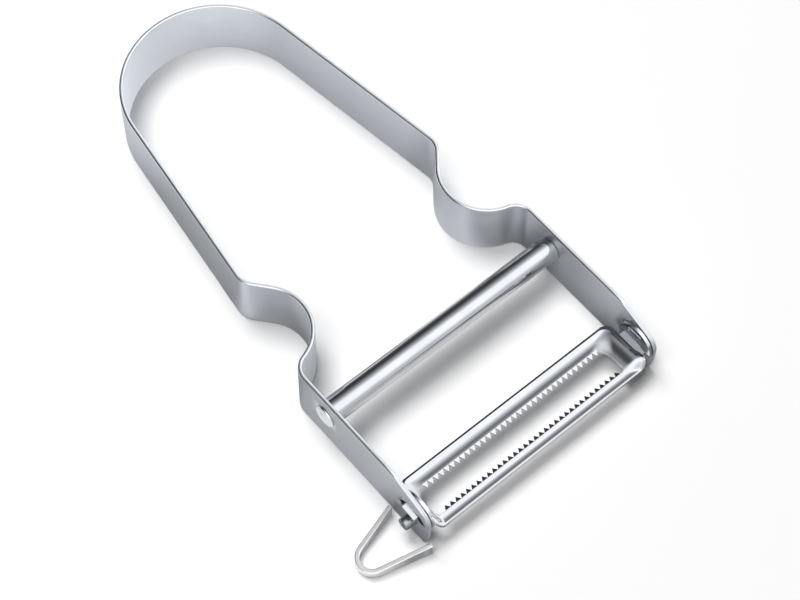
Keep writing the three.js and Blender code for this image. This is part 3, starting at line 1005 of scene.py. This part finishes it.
def ear_piece(sizes, bar, half_length, strip_thick, sign):
    """One upright ear with its neck, its tab and the hole for the pin."""
    arm_inside = ARM_OUTSIDE - strip_thick
    outer = arm_inside - sizes.ear_gap
    inner = outer - sizes.ear_thick

    def span(near, far):
        return (near, far) if sign > 0 else (-far, -near)

    def block(half, low, high):
        return [(PIVOT_Y - half, low), (PIVOT_Y + half, low), (PIVOT_Y + half, high), (PIVOT_Y - half, high)]

    neck_top = PIVOT_Z + sizes.end_rise
    tab_low = PIVOT_Z + sizes.tab_rise
    tab_top = tab_low + sizes.tab_thick
    outline = round_outline(PIVOT_Y - sizes.ear_forward, PIVOT_Z + sizes.ear_rise, sizes.ear_radius, 72)
    name = "left" if sign < 0 else "right"
    build = bmesh.new()
    add_prism_across(build, outline, *span(inner, outer))
    face_outwards(build)
    ear = new_piece("blade_ear_" + name, build)
    build = bmesh.new()
    through = span(inner - CUT_MARGIN, outer + CUT_MARGIN)
    add_prism_across(build, round_outline(PIVOT_Y, PIVOT_Z, bar.pin_radius + PIN_PLAY), *through)
    add_prism_across(build, block(sizes.tab_half, tab_top, tab_top + sizes.ear_opening), *through)
    cut_away(ear, build)
    build = bmesh.new()
    build.from_mesh(ear.data)
    neck = block(sizes.neck_half, neck_top - sizes.thick, neck_top)
    add_prism_across(build, neck, *span(half_length - NECK_REACH, inner + OVERLAP))
    others = set(build.verts)
    tab_end = ARM_OUTSIDE + sizes.tab_outside
    add_prism_across(build, block(sizes.tab_half, tab_low, tab_top), *span(outer - OVERLAP, tab_end))
    for vertex in set(build.verts) - others:
        if vertex.co.z > tab_low + 0.001 * MM:
            vertex.co.z -= TAB_FALL_OUT if abs(vertex.co.x) > ARM_OUTSIDE else 0.0
            vertex.co.z -= TAB_FALL_FRONT if vertex.co.y < PIVOT_Y else 0.0
    face_outwards(build)
    build.to_mesh(ear.data)
    build.free()
    modifier = ear.modifiers.new("edges", "BEVEL")
    modifier.width = EAR_EDGE
    modifier.segments = 3
    modifier.limit_method = "ANGLE"
    modifier.angle_limit = math.radians(EAR_EDGE_ANGLE)
    bake_modifiers(ear)
    return ear


class PEELER_OT_blade(bpy.types.Operator):
    """Makes the pressed sheet, the two rows of teeth and the ears of the blade"""

    bl_idname = "peeler.blade"
    bl_label = "Blade"

    def execute(self, context):
        sizes = context.scene.peeler_blade
        bar = context.scene.peeler_bar
        thick = context.scene.peeler_handle.thick
        half_length = blade_half_length(sizes, thick)
        polished = steel("polished_steel")
        sheet = new_piece("blade_sheet", sheet_mesh(sizes, half_length))
        shade(sheet)
        root = 0.5 * (sizes.rear_gum + sizes.front_gum)
        teeth = new_piece("blade_teeth", bmesh.new())
        run_tree(teeth, teeth_tree(), {
            "Teeth": sizes.tooth_count, "Pitch": sizes.tooth_pitch, "Root": root + OVERLAP,
            "Tip": root - sizes.tooth_length, "Top": sizes.gum_rise, "Fall": sizes.tooth_fall,
            "Thickness": TOOTH_THICKNESS * sizes.thick, "Steel": polished,
            "Middle": (sizes.slot_shift + sizes.tooth_shift, PIVOT_Y + sizes.rear_gum - root, PIVOT_Z),
        })
        teeth.data.shade_flat()
        mark_edges(teeth.data, math.radians(170))
        ears = []
        for sign in (-1, 1):
            ear = ear_piece(sizes, bar, half_length, thick, sign)
            shade(ear)
            ears.append(ear)
        for piece in (sheet, teeth):
            hand_over(piece, polished, "swing_blade", "blade")
        for piece in ears:
            hand_over(piece, steel("stamped_steel"), "swing_blade", "blade")
        return {"FINISHED"}


# Loop for potato eyes

def loop_path(sizes):
    """Middle line of the loop from its free rear leg round the end to the arm."""
    arm = -ARM_OUTSIDE - sizes.gap
    free_end = -ARM_OUTSIDE - sizes.free_gap
    middle_y = NOSE_Y + sizes.back
    end_x = -ARM_OUTSIDE - sizes.reach + sizes.end_radius
    half = math.pi / 2 - sizes.leg_angle
    points = arc(end_x, middle_y, sizes.end_radius, math.pi - half, math.pi + half, 40)
    start_x, start_y = points[0]

    def leg(x):
        return start_y - middle_y + (x - start_x) * math.tan(sizes.leg_angle)

    rear_x = [free_end + (start_x - free_end) * i / 8 for i in range(8)]
    front_x = [start_x + (arm - start_x) * i / 8 for i in range(1, 9)]
    return [(x, middle_y + leg(x)) for x in rear_x] + points + [(x, middle_y - leg(x)) for x in front_x]


def loop_tree():
    """A narrow strip with rounded edges swept along a path, deeper at the arm than at its end."""
    names = ("Thickness", "Height at arm", "Height at end", "Arm", "End", "Edge round", "Lowest")
    nodes, sizes = new_tree("swept_loop", {**dict.fromkeys(names, "Float"), "Steel": "Material"})
    depth = sizes["Height at arm"]
    line = nodes.get("GeometryNodeMeshToCurve", {"Mesh": sizes["Geometry"]})
    upright = nodes.get("GeometryNodeSetCurveNormal", {"Curve": line}, mode="Z_UP")
    section = {"Width": sizes["Thickness"], "Height": depth}
    profile = nodes.get("GeometryNodeCurvePrimitiveQuadrilateral", section)
    corners = {"Curve": profile, "Radius": sizes["Edge round"], "Count": 4}
    rounded = nodes.get("GeometryNodeFilletCurve", corners, mode="POLY")
    sweep = {"Curve": upright, "Profile Curve": rounded, "Fill Caps": True}
    x, y, z = nodes.split(nodes.get("GeometryNodeInputPosition"))
    depth_there = nodes.spread(x, sizes["Arm"], sizes["End"], depth, sizes["Height at end"])
    up = nodes.math("ADD", nodes.math("DIVIDE", z, depth), 0.5)
    z = nodes.math("ADD", nodes.math("MULTIPLY", up, depth_there), sizes["Lowest"])
    shaped = nodes.get("GeometryNodeSetPosition", {
        "Geometry": nodes.get("GeometryNodeCurveToMesh", sweep), "Position": nodes.vector(x, y, z),
    })
    return end_tree(nodes, shaped, sizes["Steel"])


class PEELER_OT_eye_remover(bpy.types.Operator):
    """Makes the loop for potato eyes on the left arm"""

    bl_idname = "peeler.eye_remover"
    bl_label = "Eye Remover"

    def execute(self, context):
        sizes = context.scene.peeler_loop
        build = bmesh.new()
        chain = [build.verts.new((x, y, 0.0)) for x, y in loop_path(sizes)]
        for first, second in zip(chain, chain[1:]):
            build.edges.new((first, second))
        loop = new_piece("eye_loop", build)
        run_tree(loop, loop_tree(), {
            "Thickness": sizes.thick, "Height at arm": sizes.height_at_arm,
            "Height at end": sizes.height_at_end, "Arm": -ARM_OUTSIDE - sizes.gap, "End": LOOP_LOW[0],
            "Edge round": sizes.edge_round, "Lowest": LOOP_LOW[2], "Steel": steel("tumbled_steel"),
        })
        build = bmesh.new()
        build.from_mesh(loop.data)
        bmesh.ops.remove_doubles(build, verts=build.verts[:], dist=0.001 * MM)
        face_outwards(build)
        build.to_mesh(loop.data)
        build.free()
        shade(loop)
        hand_over(loop, steel("tumbled_steel"), "frame", "eye_remover")
        return {"FINISHED"}


# Stage

# Painted reflections: patches of a glowing sheet on the floor beside the strip, seen only in mirrors, which
# its satin faces mirror: where each begins along the peeler, and its level
LEFT_PAINTED_REFLECTIONS = ((-112 * MM, 0.3), (-98 * MM, 0.85), (-71 * MM, 0.4), (-59 * MM, 1.2), (-51 * MM, 0.6))
RIGHT_PAINTED_REFLECTIONS = ((-112 * MM, 0.2), (-96 * MM, 0.4), (-82 * MM, 0.2), (-72 * MM, 1.2), (-55 * MM, 0.6))
PAINTED_REFLECTION_END = -44 * MM
PAINTED_REFLECTION_BLUR = 2.5 * MM

# Levels of the painted reflection sheet on the floor that metal mirrors: by the left arm, outside and inside
# the bow, and between the arms
BY_ARM = 0.42
OUTSIDE_BOW = (0.62, 1.15)
INSIDE_BOW = (1.46, 0.84)
BETWEEN_ARMS = 0.9
# Share of those painted levels against the real floor between the arms, from the nose backwards, and round
# the loop
FRONT_SHARE = (0.05, 0.6)
LOOP_SHARE = 0.1
# Lean of the left grip's line on the floor
GRIP_SLOPE = 0.21

# Studio that polished metal mirrors, by degrees up from the rear horizon over the zenith to the front one:
# a dark rear wall, a broad bright ceiling and a pale front
STUDIO = (
    (0, 0.25), (20, 0.07), (38, 0.07), (56, 0.27), (74, 0.72),
    (92, 1.55), (100, 1.7), (134, 1.7), (156, 0.9), (180, 0.85),
)
# A bright wall at the right, and a darker corner at the rear left
RIGHT_WALL = (0.34, 0.6, 0.0, 1.5)
LEFT_CORNER = (-0.85, -0.35, 0.1, 1.0)
CORNER_WAY = (0.8, 0.6)
COOL_WHITE = (0.97, 0.98, 1.0, 1.0)
WHITE = (1.0, 1.0, 1.0, 1.0)
FILL = 0.08


def soft_painted_reflections(reflection_patches):
    """Table of places and levels for painted reflection patches whose edges are blurred into each other."""
    entries = [reflection_patches[0]]
    for (_, before), (start, level) in zip(reflection_patches, reflection_patches[1:]):
        entries += [(start - PAINTED_REFLECTION_BLUR, before), (start + PAINTED_REFLECTION_BLUR, level)]
    return entries + [(PAINTED_REFLECTION_END, reflection_patches[-1][1])]


def floor_material(finishes):
    """Pale floor that holds the shadows; metal mirrors it as a glowing sheet painted with brighter and darker
    patches, painted reflections mixed with the real floor.
    """
    material = bpy.data.materials.new("pale_floor")
    nodes = cleared(material)
    x, y, _ = nodes.split(nodes.get("ShaderNodeTexCoord", output="Object"))

    def rise(value, start, end, low=0.0, high=1.0):
        """Change of a level between two places in millimetres."""
        return nodes.spread(value, start * MM, end * MM, low, high)

    # Levels of the painted reflections that metal sees in the floor, read from the tables of patches
    left = nodes.between(rise(x, -24.5, -22.5), nodes.table(y, soft_painted_reflections(LEFT_PAINTED_REFLECTIONS)), BY_ARM)
    front = nodes.between(rise(x, -4, 4), left, nodes.table(y, soft_painted_reflections(RIGHT_PAINTED_REFLECTIONS)))
    inside = rise(nodes.math("SUBTRACT", x, nodes.math("MULTIPLY", y, GRIP_SLOPE)), -13.5, -11.5)
    rear = nodes.between(inside, rise(y, -22, -8, *OUTSIDE_BOW), rise(x, -4, 14, *INSIDE_BOW))
    level = nodes.between(rise(y, -49, -44), front, rear)
    beside = nodes.math("MAXIMUM", rise(nodes.math("ABSOLUTE", x), 16, 22), rise(y, -84, -78))
    level = nodes.between(beside, BETWEEN_ARMS, level)
    even = nodes.math("MAXIMUM", beside, rise(y, -112, -90, *FRONT_SHARE))
    by_loop = nodes.math("MAXIMUM", rise(x, -35, -31, LOOP_SHARE, 1.0), rise(y, -100, -90))
    even = nodes.math("MULTIPLY", even, by_loop)
    pale = nodes.get("ShaderNodeBsdfDiffuse", {"Color": tuple(finishes.floor) + (1.0,)})
    # Painted reflection: a glowing sheet that only mirrors see, mixed in place of the real floor
    sheet = nodes.get("ShaderNodeEmission", {"Color": COOL_WHITE, "Strength": level})
    either = nodes.mix_shaders(nodes.math("MULTIPLY", nodes.mirrored(), even), pale, sheet)
    nodes.add("ShaderNodeOutputMaterial", {"Surface": either})
    return material


def studio_world():
    """Even fill for the light, and a bright ceiling between a dark rear wall and a pale front for mirrors."""
    world = bpy.data.worlds.new("studio")
    bpy.context.scene.world = world
    nodes = cleared(world)
    x, y, z = nodes.split(nodes.get("ShaderNodeTexCoord", output="Generated"))
    level = nodes.table(nodes.math("DEGREES", nodes.math("ARCTAN2", z, y)), STUDIO)
    level = nodes.math("MAXIMUM", level, nodes.spread(x, *RIGHT_WALL, "SMOOTHSTEP"))
    aside, ahead = (nodes.math("MULTIPLY", way, part) for way, part in zip((x, y), CORNER_WAY))
    corner = nodes.spread(nodes.math("SUBTRACT", aside, ahead), *LEFT_CORNER, "SMOOTHSTEP")
    level = nodes.math("MULTIPLY", level, corner)
    studio = nodes.get("ShaderNodeBackground", {"Color": COOL_WHITE, "Strength": level})
    fill = nodes.get("ShaderNodeBackground", {"Color": WHITE, "Strength": FILL})
    lit = nodes.mix_shaders(nodes.mirrored(), fill, studio)
    seen = nodes.get("ShaderNodeLightPath", output="Is Camera Ray")
    either = nodes.mix_shaders(seen, lit, nodes.get("ShaderNodeBackground"))
    nodes.add("ShaderNodeOutputWorld", {"Surface": either})


def aim(obj, place, target):
    obj.location = place
    obj.rotation_euler = (Vector(target) - Vector(place)).to_track_quat("-Z", "Y").to_euler()


# Soft panels overhead: name, energy and place
SOFT_PANELS = (
    ("rear_panel", 30.5, (0.05, 0.64, 1.88)),
    ("left_panel", 14.5, (-0.75, -0.06, 1.85)),
)
PANEL_SIZE = 1.0
PANEL_TARGET = (0.0, -0.06, 0.0)

FLOOR_REACH = 4.0
FLOOR_DROP = 0.02 * MM

# Camera that the photo was fitted with: place, turn in degrees, lens and sensor in millimetres
CAMERA_PLACE = (-0.13466, -0.22216, 0.36934)
CAMERA_TURN = (28.926, -0.7225, -40.369)
CAMERA_LENS, CAMERA_SENSOR = 103.32, 36.0
CAMERA_NEAR = 0.01


def staged(name, data):
    """A lamp or a camera as an object in the scene."""
    thing = bpy.data.objects.new(name, data)
    bpy.context.scene.collection.objects.link(thing)
    return thing


class PEELER_OT_stage(bpy.types.Operator):
    """Makes the pale floor, the soft light and the camera"""

    bl_idname = "peeler.stage"
    bl_label = "Stage"

    def execute(self, context):
        scene = context.scene
        scene.view_settings.view_transform = "Standard"
        build = bmesh.new()
        bmesh.ops.create_grid(build, x_segments=4, y_segments=4, size=FLOOR_REACH)
        for vertex in build.verts:
            vertex.co.z = -FLOOR_DROP
        floor = new_piece("pale_floor", build)
        floor.data.materials.append(floor_material(scene.peeler_finishes))
        studio_world()
        for name, energy, place in SOFT_PANELS:
            lamp = bpy.data.lights.new(name, "AREA")
            lamp.shape = "DISK"
            lamp.size = PANEL_SIZE
            lamp.energy = energy
            panel = staged(name, lamp)
            aim(panel, place, PANEL_TARGET)
            panel.visible_glossy = False
        lens = bpy.data.cameras.new("photo_camera")
        lens.sensor_fit = "HORIZONTAL"
        lens.sensor_width = CAMERA_SENSOR
        lens.lens = CAMERA_LENS
        lens.clip_start = CAMERA_NEAR
        camera = staged("photo_camera", lens)
        camera.location = CAMERA_PLACE
        camera.rotation_euler = tuple(math.radians(turn) for turn in CAMERA_TURN)
        scene.camera = camera
        return {"FINISHED"}


OPERATORS = (
    PEELER_OT_handle_strip, PEELER_OT_cross_bar, PEELER_OT_pivot_pins, PEELER_OT_blade, PEELER_OT_eye_remover,
    PEELER_OT_stage,
)


class PEELER_PT_sidebar(bpy.types.Panel):
    """Lists the pieces of the peeler and their sizes"""

    bl_idname = "PEELER_PT_sidebar"
    bl_label = "Serrated Peeler"
    bl_space_type = "VIEW_3D"
    bl_region_type = "UI"
    bl_category = "Peeler"

    def draw(self, context):
        column = self.layout.column()
        for operator in OPERATORS:
            column.operator(operator.bl_idname)
        for group in (name for name, _ in SETTINGS):
            box = self.layout.box()
            settings = getattr(context.scene, group)
            for name in settings.bl_rna.properties.keys():
                if name not in {"rna_type", "name"}:
                    box.prop(settings, name)


SETTINGS = (
    ("peeler_handle", PeelerHandleSizes),
    ("peeler_bar", PeelerBarSizes),
    ("peeler_blade", PeelerBladeSizes),
    ("peeler_loop", PeelerLoopSizes),
    ("peeler_finishes", PeelerFinishes),
)


def register():
    for name, group in SETTINGS:
        bpy.utils.register_class(group)
        setattr(bpy.types.Scene, name, PointerProperty(type=group))
    for operator in OPERATORS:
        bpy.utils.register_class(operator)
    bpy.utils.register_class(PEELER_PT_sidebar)


def unregister():
    bpy.utils.unregister_class(PEELER_PT_sidebar)
    for operator in reversed(OPERATORS):
        bpy.utils.unregister_class(operator)
    for name, group in reversed(SETTINGS):
        delattr(bpy.types.Scene, name)
        bpy.utils.unregister_class(group)


def main():
    register()
    bpy.ops.peeler.handle_strip()
    bpy.ops.peeler.cross_bar()
    bpy.ops.peeler.pivot_pins()
    bpy.ops.peeler.blade()
    bpy.ops.peeler.eye_remover()
    bpy.ops.peeler.stage()


if __name__ == "__main__":
    main()
